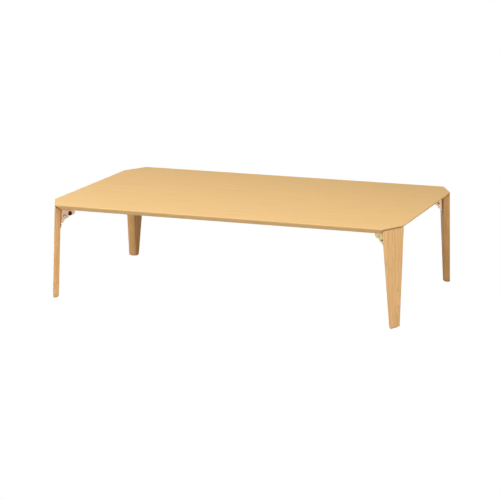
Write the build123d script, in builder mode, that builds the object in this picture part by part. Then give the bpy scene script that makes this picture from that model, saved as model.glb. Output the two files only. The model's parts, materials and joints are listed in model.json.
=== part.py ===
from build123d import *
from math import atan2, cos, degrees, hypot, radians, sin, tan
import os

# Folding low table (chabudai). Millimetres and degrees, +Z up, origin on the floor
# under the middle of the top, X along the length.

# Overall
table_length = 1200
table_width = 750
table_height = 320

# Tabletop: an octagon with long sides, undercut all round below a thin lip
panel_thickness = 18
lip_height = 3
undercut = 18  # how far the undercut runs in under the lip
corner_cut_x = 46  # what each corner cut takes off the long side
corner_cut_y = 92  # and off the short side
corner_round = 5  # plan radius where two edges meet
underside_round = 1.5  # the same, where the undercut meets the flat underside
arris_chamfer = 0.8  # the lip's upper edge

# Legs: tapered boards flush with the corner cuts, their long edges bevelled inwards
leg_thickness = 19
leg_top_width = 100
leg_foot_width = 48
leg_bevel = 18  # how much narrower each side of the inner face is
leg_top_chamfer = 3  # where the top end meets the bevelled sides
leg_splay = 2.4  # outward lean of the foot
leg_gap = 1.2  # between a leg's top end and the undercut
foot_pad_thickness = 2.5
foot_pad_inset = 2.5
foot_pad_corner = 2

# Fold of the legs
pivot_reach = 14  # from a leg's inner face to its pivot axis
pivot_depth = 27  # from the underside to the pivot axis
fold_angle = 90 + leg_splay  # brings the leg level under the top

# Pressed sheet brackets
sheet = 2
bend_round = 3.2  # outside radius of the bends
bracket_width = 32  # over the ears of the leg bracket
stop_gap = 0.1  # leg plate to the cheeks' front edges, with the leg open
plate_gap = 4  # underside to the top of the leg plate
plate_drop = 42  # pivot axis to the lower end of the leg plate
tongue_width = 26  # width of the leg plate at its lower end
tongue_corner = 5
shoulder_drop = 17.5  # pivot axis to where the ears narrow to a flange
flange_drop = 23  # pivot axis to the flange's lower end
flange_width = 8  # how far the flange stands off the leg plate
ear_top_drop = 3  # top of the leg plate to the top of the ears
fold_gap = 2.5  # cheek hub to the leg plate as it swings past
hub_sides = 8
slot_wall = 3  # metal below the lock bar's slots
slot_end_wall = 14  # and inwards of them
cheek_end_rise = 5.5  # pivot axis up to the cheeks' inward corner
cheek_corner = 5
wing_length = 20
wing_width = 48
wing_corner = 4

# Pivot
rivet_radius = 3
pivot_clearance = 0.05
rivet_head_radius = 5.5
rivet_head_height = 2
rivet_tail_radius = 4.6
rivet_tail_height = 1.6
rivet_bore_radius = 1.9
rivet_bore_depth = 7
side_clearance = 0.25  # between ear and cheek, and under the rivet's ends

# Lock bar: a sprung cross pin that slides in the cheeks and lies on the ears' cam edge
bar_radius = 2.75
bar_reach = 19  # pivot axis to the bar, with the leg open
bar_angle = 27  # direction of the slots above level, inwards
bar_travel = 6.5  # how far the spring draws the bar in along the cam as the leg folds
cam_clearance = 0.25
slot_clearance = 0.2
hook_rise = 3.4  # how far the ear's hook stands beside the bar
hook_width = 6
bar_head_radius = 4
bar_head_height = 1.2
cap_radius = 5
cap_length = 7.5
cap_wall = 1.8
cap_fit = 0.05
cap_gap = 0.4  # cap and bar head to the ears

# Tension spring from the rivet to the bar
wire = 0.9
coil_radius = 3.2
coil_length = 8
loop_clearance = 0.3
spring_sides = 8

# Wood screws
screw_radius = 2
screw_length = 14  # under the head
screw_head_radius = 3.8
screw_head_height = 2.2
screw_sides = 8
screw_clearance = 0.25  # in the brackets' holes
pilot_clearance = 0.05
pilot_spare = 1  # pilot hole beyond the screw's tip
front_screw_inset = 5.5  # cheeks' front edge to the first table screw
wing_screw_spread = 16.5  # the other two, each side of the middle
upper_leg_screw_rise = 15  # pivot axis up to the upper pair of leg screws
lower_leg_screw_drop = 34  # pivot axis down to the lower one
leg_screw_spread = 7.4

# Each bracket set is modelled on a bench frame: origin on the pivot axis, X pointing
# inwards under the top, Z up, Y across. Its sides lie in the flank plane, and the leg's
# in the leg flank, which leans with the leg.
lean = radians(leg_splay)
flank = Plane.XZ
leg_flank = flank.rotated((0, leg_splay, 0))


def polar(reach, angle):
    """Point at a distance and an angle in degrees from the origin."""
    return Vector(reach * cos(radians(angle)), reach * sin(radians(angle)))


# Derived places
underside = table_height - panel_thickness
pivot_height = underside - pivot_depth
leg_face = -pivot_reach  # inner face of the leg, in the leaning frame
outer_face = leg_face - leg_thickness
plate_face = leg_face + sheet
top_rise = (table_height - pivot_height + outer_face * sin(lean)) / cos(lean)
foot_drop = table_height / cos(lean) - top_rise
pivot_inset = -outer_face * cos(lean) - top_rise * sin(lean)

ear_outside = bracket_width / 2
ear_inside = ear_outside - sheet
cheek_outside = ear_inside - side_clearance
cheek_inside = cheek_outside - sheet
hub_radius = -plate_face - fold_gap
bar_place = polar(bar_reach, bar_angle)
bar_stop = polar(bar_reach - bar_travel, bar_angle)
slot_radius = bar_radius + slot_clearance
cheek_end = bar_place.X + slot_radius + slot_end_wall
front_edge = (plate_face + stop_gap) / cos(lean) + pivot_depth * tan(lean)
bracket_top = pivot_depth - sheet

table_screw_places = [
    (front_edge + front_screw_inset, 0),
    (cheek_end + wing_length / 2, -wing_screw_spread),
    (cheek_end + wing_length / 2, wing_screw_spread),
]
leg_screw_places = [
    (-leg_screw_spread, upper_leg_screw_rise),
    (leg_screw_spread, upper_leg_screw_rise),
    (0, -lower_leg_screw_drop),
]
pilot_radius = screw_radius + pilot_clearance
pilot_depth = screw_length - sheet + pilot_spare
bracket_hole_radius = screw_radius + screw_clearance


def leg_wall(reach):
    """Plane square to the leg's faces, at a reach from the pivot, facing outwards."""
    seat = leg_flank.from_local_coords((reach, 0, 0))
    return Plane(origin=seat, x_dir=(0, -1, 0), z_dir=-leg_flank.x_dir)


def leg_level(height):
    """Plane across the leg at a height above the pivot, its x axis inwards."""
    seat = leg_flank.from_local_coords((0, height, 0))
    return Plane(origin=seat, x_dir=leg_flank.x_dir, z_dir=leg_flank.y_dir)


def cross_line(place):
    """Plane whose x axis runs across the bracket through a point of its flank."""
    return Plane(origin=(place.X, 0, place.Y), x_dir=(0, -1, 0), z_dir=(0, 0, 1))


# Where each corner's bench frame stands on the table
corners = []
cut_length = hypot(corner_cut_x, corner_cut_y)
for side, side_x in (("left", -1), ("right", 1)):
    for row, side_y in (("front", -1), ("back", 1)):
        outward = Vector(side_x * corner_cut_y, side_y * corner_cut_x) / cut_length
        cut_middle = Vector(
            side_x * (table_length - corner_cut_x) / 2,
            side_y * (table_width - corner_cut_y) / 2,
            pivot_height,
        )
        seat = Plane(origin=cut_middle - outward * pivot_inset, x_dir=-outward, z_dir=(0, 0, 1))
        corners.append((f"{row}_{side}", seat))


def octagon():
    """Corner points of the top, before its corners are rounded."""
    half_x, half_y = table_length / 2, table_width / 2
    back_right = [(half_x, half_y - corner_cut_y), (half_x - corner_cut_x, half_y)]
    back = back_right + [(-x, y) for x, y in reversed(back_right)]
    return back + [(-x, -y) for x, y in back]


def turned(line, profile):
    """Solid turned about a plane's x axis from (along, radius) points."""
    with BuildPart() as piece:
        with BuildSketch(line):
            Polygon(*profile, align=None)
        revolve(axis=Axis(line.origin, line.x_dir))
    return piece


os.makedirs("parts", exist_ok=True)

# Tabletop
with BuildPart() as tabletop:
    with BuildSketch(Plane.XY.offset(underside)) as flat:
        Polygon(*octagon(), align=None)
        offset(amount=-undercut, kind=Kind.INTERSECTION)
        fillet(flat.vertices(), underside_round)
    with BuildSketch(Plane.XY.offset(table_height - lip_height)) as rim:
        Polygon(*octagon(), align=None)
        fillet(rim.vertices(), corner_round)
    loft(ruled=True)
    extrude(rim.sketch, amount=lip_height)
    chamfer(tabletop.faces().sort_by(Axis.Z)[-1].edges(), arris_chamfer)
    for name, seat in corners:
        with BuildSketch(Plane(seat.location * Location((0, 0, pivot_depth)))):
            with Locations(*table_screw_places):
                RegularPolygon(pilot_radius, screw_sides, major_radius=False)
        extrude(amount=pilot_depth, mode=Mode.SUBTRACT)

# Leg: a board cut to its taper, its long sides bevelled inwards, then trimmed by a slope
# that follows the undercut and by the foot pad. Drawn longer than it is at both ends.
leg_spare = leg_thickness
side_slope = (leg_top_width - leg_foot_width) / 2 / (top_rise + foot_drop)
drawn_top = leg_top_width / 2 + leg_spare * side_slope
drawn_foot = leg_foot_width / 2 - leg_spare * side_slope
slope = atan2(panel_thickness - lip_height, undercut)
away = Vector(-sin(slope), 0, -cos(slope))  # square to the undercut, out of the top
under_lip = Vector(-pivot_inset, 0, pivot_depth + panel_thickness - lip_height)
leg_end = Plane(origin=under_lip + away * leg_gap, x_dir=(0, 1, 0), z_dir=away)
sole = Plane.XY.offset(foot_pad_thickness - pivot_height)


def bevel_plane(side):
    """Plane of a bevelled side of the leg, -1 or 1, facing the middle of the board."""
    wall = leg_wall(outer_face)
    foot = wall.from_local_coords((side * drawn_foot, -foot_drop - leg_spare))
    top = wall.from_local_coords((side * drawn_top, top_rise + leg_spare))
    inwards = wall.x_dir * -side * leg_bevel - wall.z_dir * leg_thickness
    return Plane(origin=foot, z_dir=(top - foot).cross(inwards) * side)


with BuildPart() as leg:
    with BuildSketch(leg_wall(outer_face)):
        Polygon(
            (-drawn_top, top_rise + leg_spare),
            (-drawn_foot, -foot_drop - leg_spare),
            (drawn_foot, -foot_drop - leg_spare),
            (drawn_top, top_rise + leg_spare),
            align=None,
        )
    extrude(amount=-leg_thickness)
    split(bisect_by=bevel_plane(-1), keep=Keep.TOP)
    split(bisect_by=bevel_plane(1), keep=Keep.TOP)
    split(bisect_by=leg_end, keep=Keep.TOP)
    end_edges = leg.faces().sort_by(Axis.Z)[-1].edges().group_by(Axis.Y)
    chamfer(end_edges[0] + end_edges[-1], leg_top_chamfer)
    split(bisect_by=sole, keep=Keep.TOP)
    with BuildSketch(leg_wall(leg_face)):
        with Locations(*leg_screw_places):
            RegularPolygon(pilot_radius, screw_sides, major_radius=False)
    extrude(amount=pilot_depth, mode=Mode.SUBTRACT)

sole_shift = (foot_pad_thickness - pivot_height) * tan(lean)
with BuildPart() as foot_pad:
    with BuildSketch(sole) as pad:
        Polygon(
            (outer_face / cos(lean) + sole_shift, -leg_foot_width / 2),
            (leg_face / cos(lean) + sole_shift, leg_bevel - leg_foot_width / 2),
            (leg_face / cos(lean) + sole_shift, leg_foot_width / 2 - leg_bevel),
            (outer_face / cos(lean) + sole_shift, leg_foot_width / 2),
            align=None,
        )
        offset(amount=-foot_pad_inset, kind=Kind.INTERSECTION)
        chamfer(pad.vertices(), foot_pad_corner)
    extrude(amount=-foot_pad_thickness)

# Table bracket: a channel of bent sheet cut to its side outline, with a wing at its
# inward end for the second pair of screws. The bar's slots run away from the pivot.
with BuildPart() as table_bracket:
    with BuildSketch(Plane.YZ.offset(-pivot_inset)) as channel:
        with Locations((0, pivot_depth)):
            Rectangle(2 * cheek_outside, 2 * pivot_depth, align=(Align.CENTER, Align.MAX))
        fillet(channel.vertices().group_by(Axis.Y)[-1], bend_round)
        with Locations((0, bracket_top)):
            Rectangle(
                2 * cheek_inside,
                2 * pivot_depth,
                align=(Align.CENTER, Align.MAX),
                mode=Mode.SUBTRACT,
            )
    extrude(amount=pivot_inset + cheek_end)
    with BuildSketch(flank) as cheek:
        RegularPolygon(hub_radius, hub_sides)
        Polygon(
            (plate_face / cos(lean) + stop_gap, 0),
            (front_edge, pivot_depth),
            (cheek_end, pivot_depth),
            (cheek_end, cheek_end_rise),
            (bar_stop.X, bar_stop.Y - slot_radius - slot_wall),
            (0, 0),
            align=None,
        )
        chamfer(cheek.vertices().sort_by(Axis.X)[-2:].sort_by(Axis.Y)[0], cheek_corner)
    extrude(amount=bracket_width, both=True, mode=Mode.INTERSECT)
    with BuildSketch(Plane.XY.offset(bracket_top)) as wing:
        with Locations((cheek_end, 0)):
            Rectangle(wing_length, wing_width, align=(Align.MIN, Align.CENTER))
        chamfer(wing.vertices().group_by(Axis.X)[-1], wing_corner)
        with Locations((cheek_end - sheet, 0)):
            Rectangle(wing_length, 2 * cheek_inside, align=(Align.MIN, Align.CENTER))
    extrude(amount=sheet)
    with BuildSketch(flank):
        Circle(rivet_radius + pivot_clearance)
        with Locations((bar_place + bar_stop) / 2):
            SlotCenterToCenter(bar_travel, 2 * slot_radius, rotation=bar_angle)
    extrude(amount=bracket_width, both=True, mode=Mode.SUBTRACT)
    with BuildSketch(Plane.XY.offset(bracket_top)):
        with Locations(*table_screw_places):
            RegularPolygon(bracket_hole_radius, screw_sides, major_radius=False)
    extrude(amount=sheet, mode=Mode.SUBTRACT)

# Leg bracket. In the leg's frame the bar turns back round the pivot as the leg folds,
# and moves in along its slots, so the ears' edge is the inner offset of a spiral, here
# an arc through its start, middle and end. A hook beyond the bar's seat gives the crook
# that the bar lies in when the leg is open. Below the cam the ears narrow to a flange.
seat_angle = bar_angle + leg_splay
cam_offset = bar_radius + cam_clearance


def cam_point(turn):
    """Point of the cam edge under the bar after the leg has folded by turn degrees."""
    rate = bar_travel / radians(fold_angle)
    reach = bar_reach - rate * radians(turn)
    outward = polar(1, seat_angle - turn)
    onward = polar(1, seat_angle - turn + 90)
    square = (outward * reach - onward * rate).normalized()
    return outward * reach - square * cam_offset


seat_out = polar(1, seat_angle)
seat_up = polar(1, seat_angle + 90)
seat_middle = seat_out * bar_reach
hook_foot = seat_middle + seat_up * cam_offset
hook_tip = hook_foot + seat_out * hook_rise
plate_top = pivot_depth - plate_gap
cam_turn = fold_angle + degrees(cam_offset / bar_reach)  # on by the bar's own width
flange_edge = plate_face + flange_width

with BuildPart() as leg_bracket:
    with BuildSketch(leg_level(-plate_drop)) as channel:
        with Locations((leg_face, 0)):
            Rectangle(3 * pivot_reach, bracket_width, align=(Align.MIN, Align.CENTER))
        fillet(channel.vertices().group_by(Axis.X)[0], bend_round)
        with Locations((plate_face, 0)):
            Rectangle(
                3 * pivot_reach,
                2 * ear_inside,
                align=(Align.MIN, Align.CENTER),
                mode=Mode.SUBTRACT,
            )
    extrude(amount=plate_drop + plate_top)
    with BuildSketch(leg_flank) as ear:
        with BuildLine():
            Polyline(
                (plate_face, -flange_drop),
                (plate_face, -plate_drop),
                (leg_face, -plate_drop),
                (leg_face, plate_top),
                (plate_face, plate_top),
                (plate_face, plate_top - ear_top_drop),
                hook_tip + seat_up * hook_width,
                hook_tip,
                hook_foot,
            )
            ThreePointArc(
                hook_foot,
                seat_middle + (seat_up - seat_out).normalized() * cam_offset,
                cam_point(0),
            )
            cam = ThreePointArc(cam_point(0), cam_point(cam_turn / 2), cam_point(cam_turn))
            Polyline(
                cam @ 1,
                (flange_edge, -shoulder_drop),
                (flange_edge, -flange_drop),
                (plate_face, -flange_drop),
            )
        make_face()
    extrude(amount=bracket_width, both=True, mode=Mode.INTERSECT)
    with BuildSketch(leg_wall(leg_face)) as plate:
        Polygon(
            (-bracket_width / 2, plate_top),
            (-bracket_width / 2, -flange_drop),
            (-tongue_width / 2, -plate_drop),
            (tongue_width / 2, -plate_drop),
            (bracket_width / 2, -flange_drop),
            (bracket_width / 2, plate_top),
            align=None,
        )
        chamfer(plate.vertices().group_by(Axis.Y)[0], tongue_corner)
    extrude(amount=-3 * pivot_reach, mode=Mode.INTERSECT)
    with BuildSketch(leg_wall(leg_face)):
        with Locations(*leg_screw_places):
            RegularPolygon(bracket_hole_radius, screw_sides, major_radius=False)
    extrude(amount=-sheet, mode=Mode.SUBTRACT)
    with BuildSketch(flank):
        Circle(rivet_radius + pivot_clearance)
    extrude(amount=bracket_width, both=True, mode=Mode.SUBTRACT)

# Pivot rivet: flat head on the right flank, hollow spread tail on the left
rivet_seat = ear_outside + side_clearance
tail_end = -rivet_seat - rivet_tail_height
pivot_rivet = turned(
    cross_line(Vector(0, 0)),
    [
        (tail_end, rivet_bore_radius),
        (tail_end, rivet_tail_radius),
        (-rivet_seat, rivet_tail_radius),
        (-rivet_seat, rivet_radius),
        (rivet_seat, rivet_radius),
        (rivet_seat, rivet_head_radius),
        (rivet_seat + rivet_head_height, rivet_head_radius),
        (rivet_seat + rivet_head_height, 0),
        (tail_end + rivet_bore_depth, 0),
        (tail_end + rivet_bore_depth, rivet_bore_radius),
    ],
)

# Lock bar: headed on the left, with a black finger cap pushed on its right end
cap_seat = ear_outside + cap_gap
bar_line = cross_line(bar_place)
lock_bar = turned(
    bar_line,
    [
        (-cap_seat - bar_head_height, 0),
        (-cap_seat - bar_head_height, bar_head_radius),
        (-cap_seat, bar_head_radius),
        (-cap_seat, bar_radius),
        (cap_seat + cap_length - cap_wall, bar_radius),
        (cap_seat + cap_length - cap_wall, 0),
    ],
)
bar_cap = turned(
    bar_line,
    [
        (cap_seat, bar_radius + cap_fit),
        (cap_seat, cap_radius),
        (cap_seat + cap_length, cap_radius),
        (cap_seat + cap_length, 0),
        (cap_seat + cap_length - cap_wall + cap_fit, 0),
        (cap_seat + cap_length - cap_wall + cap_fit, bar_radius + cap_fit),
    ],
)

# Tension spring in line with the slots: its close coil, and an open hook round each pin.
# Its frame has x along the pull and y square to it, in the flank plane.
pull = flank.from_local_coords(polar(1, bar_angle))
spring_plane = Plane(origin=(0, 0, 0), x_dir=pull, z_dir=flank.z_dir)
coil_start = (bar_reach - coil_length) / 2
with BuildPart() as lock_spring:
    with BuildSketch(Plane(origin=pull * coil_start, z_dir=pull)):
        RegularPolygon(coil_radius, spring_sides)
    extrude(amount=coil_length)
    with BuildSketch(spring_plane.offset(-wire / 2)):
        for pin_at, pin_radius, coil_side in ((0, rivet_radius, 1), (bar_reach, bar_radius, -1)):
            eye = pin_radius + loop_clearance
            with Locations((pin_at, 0)):
                RegularPolygon(eye + wire, spring_sides, major_radius=False)
                Rectangle(
                    abs(coil_start) + wire,
                    wire,
                    align=(Align.MIN if coil_side > 0 else Align.MAX, Align.CENTER),
                )
                RegularPolygon(eye, spring_sides, major_radius=False, mode=Mode.SUBTRACT)
                with Locations((0, -coil_side * eye)):
                    Rectangle(eye, 2 * wire + eye, mode=Mode.SUBTRACT)
    extrude(amount=wire)

# Wood screws: each stands along +Z with the underside of its head at its own origin
with BuildPart() as screw:
    with BuildSketch():
        RegularPolygon(screw_head_radius, screw_sides)
    extrude(amount=-screw_head_height)
    with BuildSketch():
        RegularPolygon(screw_radius, screw_sides)
    extrude(amount=screw_length)

with BuildPart() as leg_screws:
    with Locations(leg_wall(plate_face)):
        with Locations(*leg_screw_places):
            add(screw.part)

with BuildPart() as table_screws:
    for name, seat in corners:
        with Locations(seat.location * Location((0, 0, bracket_top))):
            with Locations(*table_screw_places):
                add(screw.part)

with BuildPart() as pivot_rivets:
    for name, seat in corners:
        with Locations(seat.location):
            add(pivot_rivet.part)

tabletop.part.label = "tabletop"
export_step(tabletop.part, "parts/tabletop.step")
table_screws.part.label = "table_screws"
export_step(table_screws.part, "parts/table_screws.step")
pivot_rivets.part.label = "pivot_rivets"
export_step(pivot_rivets.part, "parts/pivot_rivets.step")

# One bracket set and leg at each corner
corner_pieces = {
    "leg": leg,
    "foot_pad": foot_pad,
    "table_bracket": table_bracket,
    "leg_bracket": leg_bracket,
    "leg_screws": leg_screws,
    "lock_bar": lock_bar,
    "bar_cap": bar_cap,
    "lock_spring": lock_spring,
}
for name, seat in corners:
    for piece_name, piece in corner_pieces.items():
        placed = piece.part.moved(seat.location)
        placed.label = f"{name}_{piece_name}"
        export_step(placed, f"parts/{placed.label}.step")
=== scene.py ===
import json
from math import pi, radians

import bmesh
import bpy
import numpy as np
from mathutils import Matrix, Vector


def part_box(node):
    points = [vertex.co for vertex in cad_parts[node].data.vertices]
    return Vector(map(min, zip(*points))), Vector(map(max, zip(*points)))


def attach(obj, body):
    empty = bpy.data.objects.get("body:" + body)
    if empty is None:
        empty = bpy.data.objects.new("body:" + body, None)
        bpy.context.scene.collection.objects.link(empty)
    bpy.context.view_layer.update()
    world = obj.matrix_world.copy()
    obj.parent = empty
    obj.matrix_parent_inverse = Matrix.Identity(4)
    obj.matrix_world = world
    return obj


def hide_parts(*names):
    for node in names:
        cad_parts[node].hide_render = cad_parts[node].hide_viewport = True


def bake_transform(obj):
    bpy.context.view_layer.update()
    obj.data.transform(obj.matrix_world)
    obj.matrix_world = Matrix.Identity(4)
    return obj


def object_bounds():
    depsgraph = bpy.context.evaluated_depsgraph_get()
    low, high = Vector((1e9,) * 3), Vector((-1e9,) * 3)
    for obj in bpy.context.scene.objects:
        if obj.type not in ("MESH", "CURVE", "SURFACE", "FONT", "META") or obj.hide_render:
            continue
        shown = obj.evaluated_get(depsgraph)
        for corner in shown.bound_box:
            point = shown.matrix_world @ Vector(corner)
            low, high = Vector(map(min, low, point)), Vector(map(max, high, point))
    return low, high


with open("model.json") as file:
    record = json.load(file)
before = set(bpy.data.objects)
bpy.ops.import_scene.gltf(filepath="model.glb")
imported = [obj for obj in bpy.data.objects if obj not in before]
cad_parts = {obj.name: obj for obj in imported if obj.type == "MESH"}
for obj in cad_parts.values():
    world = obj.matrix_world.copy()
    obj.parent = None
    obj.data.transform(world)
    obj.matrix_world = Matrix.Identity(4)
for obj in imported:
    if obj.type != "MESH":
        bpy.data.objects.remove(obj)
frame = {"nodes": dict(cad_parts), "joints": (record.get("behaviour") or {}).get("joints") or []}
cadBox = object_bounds()
mm = 0.001  # lengths of pieces are given in millimetres, the scene is in metres
weldDistance = 0.001  # millimetres
print("frame loaded")


def unit(vector):
    # the vector over its own length
    return np.asarray(vector, float) / np.linalg.norm(vector)


def ringFaces(rings, points):
    # quads (i, j), (i, j + 1), (i + 1, j + 1), (i + 1, j) between neighbouring rings, wrapped round
    row, column = np.meshgrid(np.arange(rings - 1), np.arange(points), indexing="ij")
    after = (column + 1) % points
    quads = np.stack([row * points + column, row * points + after,
                      (row + 1) * points + after, (row + 1) * points + column], axis=-1)
    return quads.reshape(-1, 4)


def addPiece(name, mesh, sharpAngle):
    # an object at the origin, shaded smooth but for edges that turn by more than the angle
    mesh.shade_smooth()
    mesh.set_sharp_from_angle(angle=radians(sharpAngle))
    piece = bpy.data.objects.new(name, mesh)
    bpy.context.scene.collection.objects.link(piece)
    return piece


def stackRings(name, rings, sharpAngle):
    # closed solids from one stack of rings (n, m, 3) or several (copies, n, m, 3): quads between
    # the rings and a flat face over each end, points that coincide welded, every face outwards
    rings = rings if rings.ndim == 4 else rings[None]
    copies, count, points = rings.shape[:3]
    faces = []
    for start in range(0, copies * count * points, count * points):
        last = start + (count - 1) * points
        faces += (ringFaces(count, points) + start).tolist()
        faces += [list(range(start, start + points)), list(range(last, last + points))]
    mesh = bpy.data.meshes.new(name)
    mesh.from_pydata(rings.reshape(-1, 3).tolist(), [], faces)
    work = bmesh.new()
    work.from_mesh(mesh)
    bmesh.ops.remove_doubles(work, verts=work.verts, dist=weldDistance * mm)
    bmesh.ops.recalc_face_normals(work, faces=work.faces)
    work.to_mesh(mesh)
    work.free()
    return addPiece(name, mesh, sharpAngle)


def turnedRings(profile, line, sides):
    # (along, radius) pairs turned about a line:
    # origin + along * axis + radius * (cos a * side + sin a * up)
    origin, axis, side = line
    up = np.cross(axis, side)
    angle = np.linspace(0, 2 * pi, sides, endpoint=False)[:, None]
    circle = np.cos(angle) * side + np.sin(angle) * up
    profile = np.asarray(profile, float) * mm
    return origin + profile[:, 0, None, None] * axis + profile[:, 1, None, None] * circle


def arcProfile(centre, radius, start, end, steps):
    # points (x, y) = centre + radius * (cos a, sin a) from start to end degrees
    angle = np.radians(np.linspace(start, end, steps))
    return np.stack([centre[0] + radius * np.cos(angle),
                     centre[1] + radius * np.sin(angle)], axis=-1)


def roundedRing(outline, inset, radius, steps):
    # a closed outline (k, 2), counterclockwise, moved in by inset with its corners rounded:
    # corner + (inset + radius) * mitre - radius * normal, the normal swept from edge to edge
    forward = np.roll(outline, -1, axis=0) - outline
    forward /= np.linalg.norm(forward, axis=1, keepdims=True)
    inward = np.stack([-forward[:, 1], forward[:, 0]], axis=-1)
    before = np.roll(inward, 1, axis=0)
    cosine = np.sum(before * inward, axis=1)
    mitre = (before + inward) / (1 + cosine[:, None])
    turn = np.arctan2(before[:, 0] * inward[:, 1] - before[:, 1] * inward[:, 0], cosine)
    angle = turn[:, None] * np.linspace(0, 1, steps)
    x, y = before[:, :1], before[:, 1:]
    normal = np.stack([x * np.cos(angle) - y * np.sin(angle),
                       x * np.sin(angle) + y * np.cos(angle)], axis=-1)
    radius = np.broadcast_to(radius, len(outline))[:, None, None]
    ring = outline[:, None] + (inset + radius) * mitre[:, None] - radius * normal
    return ring.reshape(-1, 2)


def pointPlaces(mesh):
    # the place of every point, (n, 3)
    place = np.empty(len(mesh.vertices) * 3)
    mesh.vertices.foreach_get("co", place)
    return place.reshape(-1, 3)


def giveGrain(piece, origin, across, through, along, shift=(0, 0, 0)):
    # board coordinates: how far across, through and along the board each point lies
    place = pointPlaces(piece.data) - origin
    board = np.stack([place @ across, place @ through, place @ along], axis=-1) + np.asarray(shift)
    layer = piece.data.attributes.new("grain", "FLOAT_VECTOR", "POINT")
    layer.data.foreach_set("vector", board.ravel())


def dress(piece, material, body, replaced):
    # its only material, the body it moves with, and the frame's node it stands for
    piece.data.materials.clear()
    piece.data.materials.append(material)
    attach(piece, body)
    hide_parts(replaced)


# the four corners of the table, from the frame's fold joints
corners = {}
for joint in frame["joints"]:
    if not joint["name"].endswith("_fold"):
        continue
    up = np.array([0.0, 0.0, 1.0])
    inward = unit(np.cross(up, joint["axis"]))
    corners[joint["name"].removesuffix("_fold")] = {
        "pivot": np.array(joint["pos_m"]),
        "inward": inward,
        "across": np.cross(up, inward),
        "up": up,
        "leg": joint["child"],
        "lock": joint["child"].replace("leg_", "lock_"),
    }


def benchPoint(corner, x, y, z):
    # a bracket's own frame, in millimetres: pivot + x inwards + y across + z up
    return corner["pivot"] + mm * (x * corner["inward"] + y * corner["across"] + z * corner["up"])


def leanFrame(corner, degrees):
    # directions of the leaning leg, inwards and up turned by the lean: square to it and along it
    lean = radians(degrees)
    face = np.cos(lean) * corner["inward"] - np.sin(lean) * corner["up"]
    along = np.sin(lean) * corner["inward"] + np.cos(lean) * corner["up"]
    return face, along


def flankLine(corner, x=0.0, z=0.0):
    # the line across a bracket through a point of its flank: origin, direction to the cap, side
    return benchPoint(corner, x, 0, z), -corner["across"], corner["inward"]


cameraValues = {
    "place": (2.147, -5.883, 1.540),  # metres
    "pitch": 77.34,  # degrees up from straight down
    "turn": 20.18,  # degrees round from +Y
    "focalPixels": 1908.2,
    "imageWidth": 500,
    "sensor": 36,
    "farthest": 100,
}


def makeCamera(values):
    # lens = focal length in pixels * sensor width / image width
    lens = bpy.data.cameras.new("camera")
    lens.sensor_width = values["sensor"]
    lens.lens = values["focalPixels"] * values["sensor"] / values["imageWidth"]
    lens.clip_end = values["farthest"]
    camera = bpy.data.objects.new("camera", lens)
    camera.location = values["place"]
    camera.rotation_euler = (radians(values["pitch"]), 0, radians(values["turn"]))
    bpy.context.scene.collection.objects.link(camera)
    bpy.context.scene.camera = camera


makeCamera(cameraValues)
print("camera set")


def newMaterial(name):
    # an empty node tree with one principled shader
    material = bpy.data.materials.new(name)
    material.use_nodes = True
    tree = material.node_tree
    tree.nodes.clear()
    shader = tree.nodes.new("ShaderNodeBsdfPrincipled")
    output = tree.nodes.new("ShaderNodeOutputMaterial")
    tree.links.new(shader.outputs["BSDF"], output.inputs["Surface"])
    return material, tree, shader


def feed(tree, socket, value):
    # a link where the value is another node's socket, otherwise the value itself
    if isinstance(value, bpy.types.NodeSocket):
        tree.links.new(value, socket)
    else:
        socket.default_value = value


def addNode(tree, kind, inputs=None, **settings):
    # inputs by name or number, settings by name
    node = tree.nodes.new(kind)
    for key, value in settings.items():
        setattr(node, key, value)
    for key, value in (inputs or {}).items():
        feed(tree, node.inputs[key], value)
    return node


def mathNode(tree, operation, first, second=0.0):
    return addNode(tree, "ShaderNodeMath", {0: first, 1: second}, operation=operation).outputs[0]


def times(tree, first, second):
    return mathNode(tree, "MULTIPLY", first, second)


def plus(tree, first, second):
    return mathNode(tree, "ADD", first, second)


def attributeNode(tree, name):
    return addNode(tree, "ShaderNodeAttribute", attribute_name=name).outputs


def objectPlace(tree):
    return addNode(tree, "ShaderNodeTexCoord").outputs["Object"]


def noiseNode(tree, vector, scale, detail, roughness=0.5):
    inputs = {"Vector": vector, "Scale": scale, "Detail": detail, "Roughness": roughness}
    return addNode(tree, "ShaderNodeTexNoise", inputs).outputs["Fac"]


def stretched(tree, vector, scale):
    return addNode(tree, "ShaderNodeMapping", {"Vector": vector, "Scale": scale}).outputs["Vector"]


def rangeNode(tree, value, low, high, toLow=0.0, toHigh=1.0):
    inputs = {"Value": value, "From Min": low, "From Max": high, "To Min": toLow, "To Max": toHigh}
    return addNode(tree, "ShaderNodeMapRange", inputs).outputs["Result"]


def blendColour(tree, share, first, second):
    # sockets 0, 6 and 7 are the mix node's share and its two colours
    mix = addNode(tree, "ShaderNodeMix", data_type="RGBA")
    feed(tree, mix.inputs[0], share)
    for socket, colour in ((mix.inputs[6], first), (mix.inputs[7], second)):
        feed(tree, socket, (*colour, 1) if isinstance(colour, tuple) else colour)
    return mix.outputs[2]


def addBump(tree, shader, height, strength, distance):
    inputs = {"Height": height, "Strength": strength, "Distance": distance}
    bump = addNode(tree, "ShaderNodeBump", inputs)
    tree.links.new(bump.outputs["Normal"], shader.inputs["Normal"])


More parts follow.
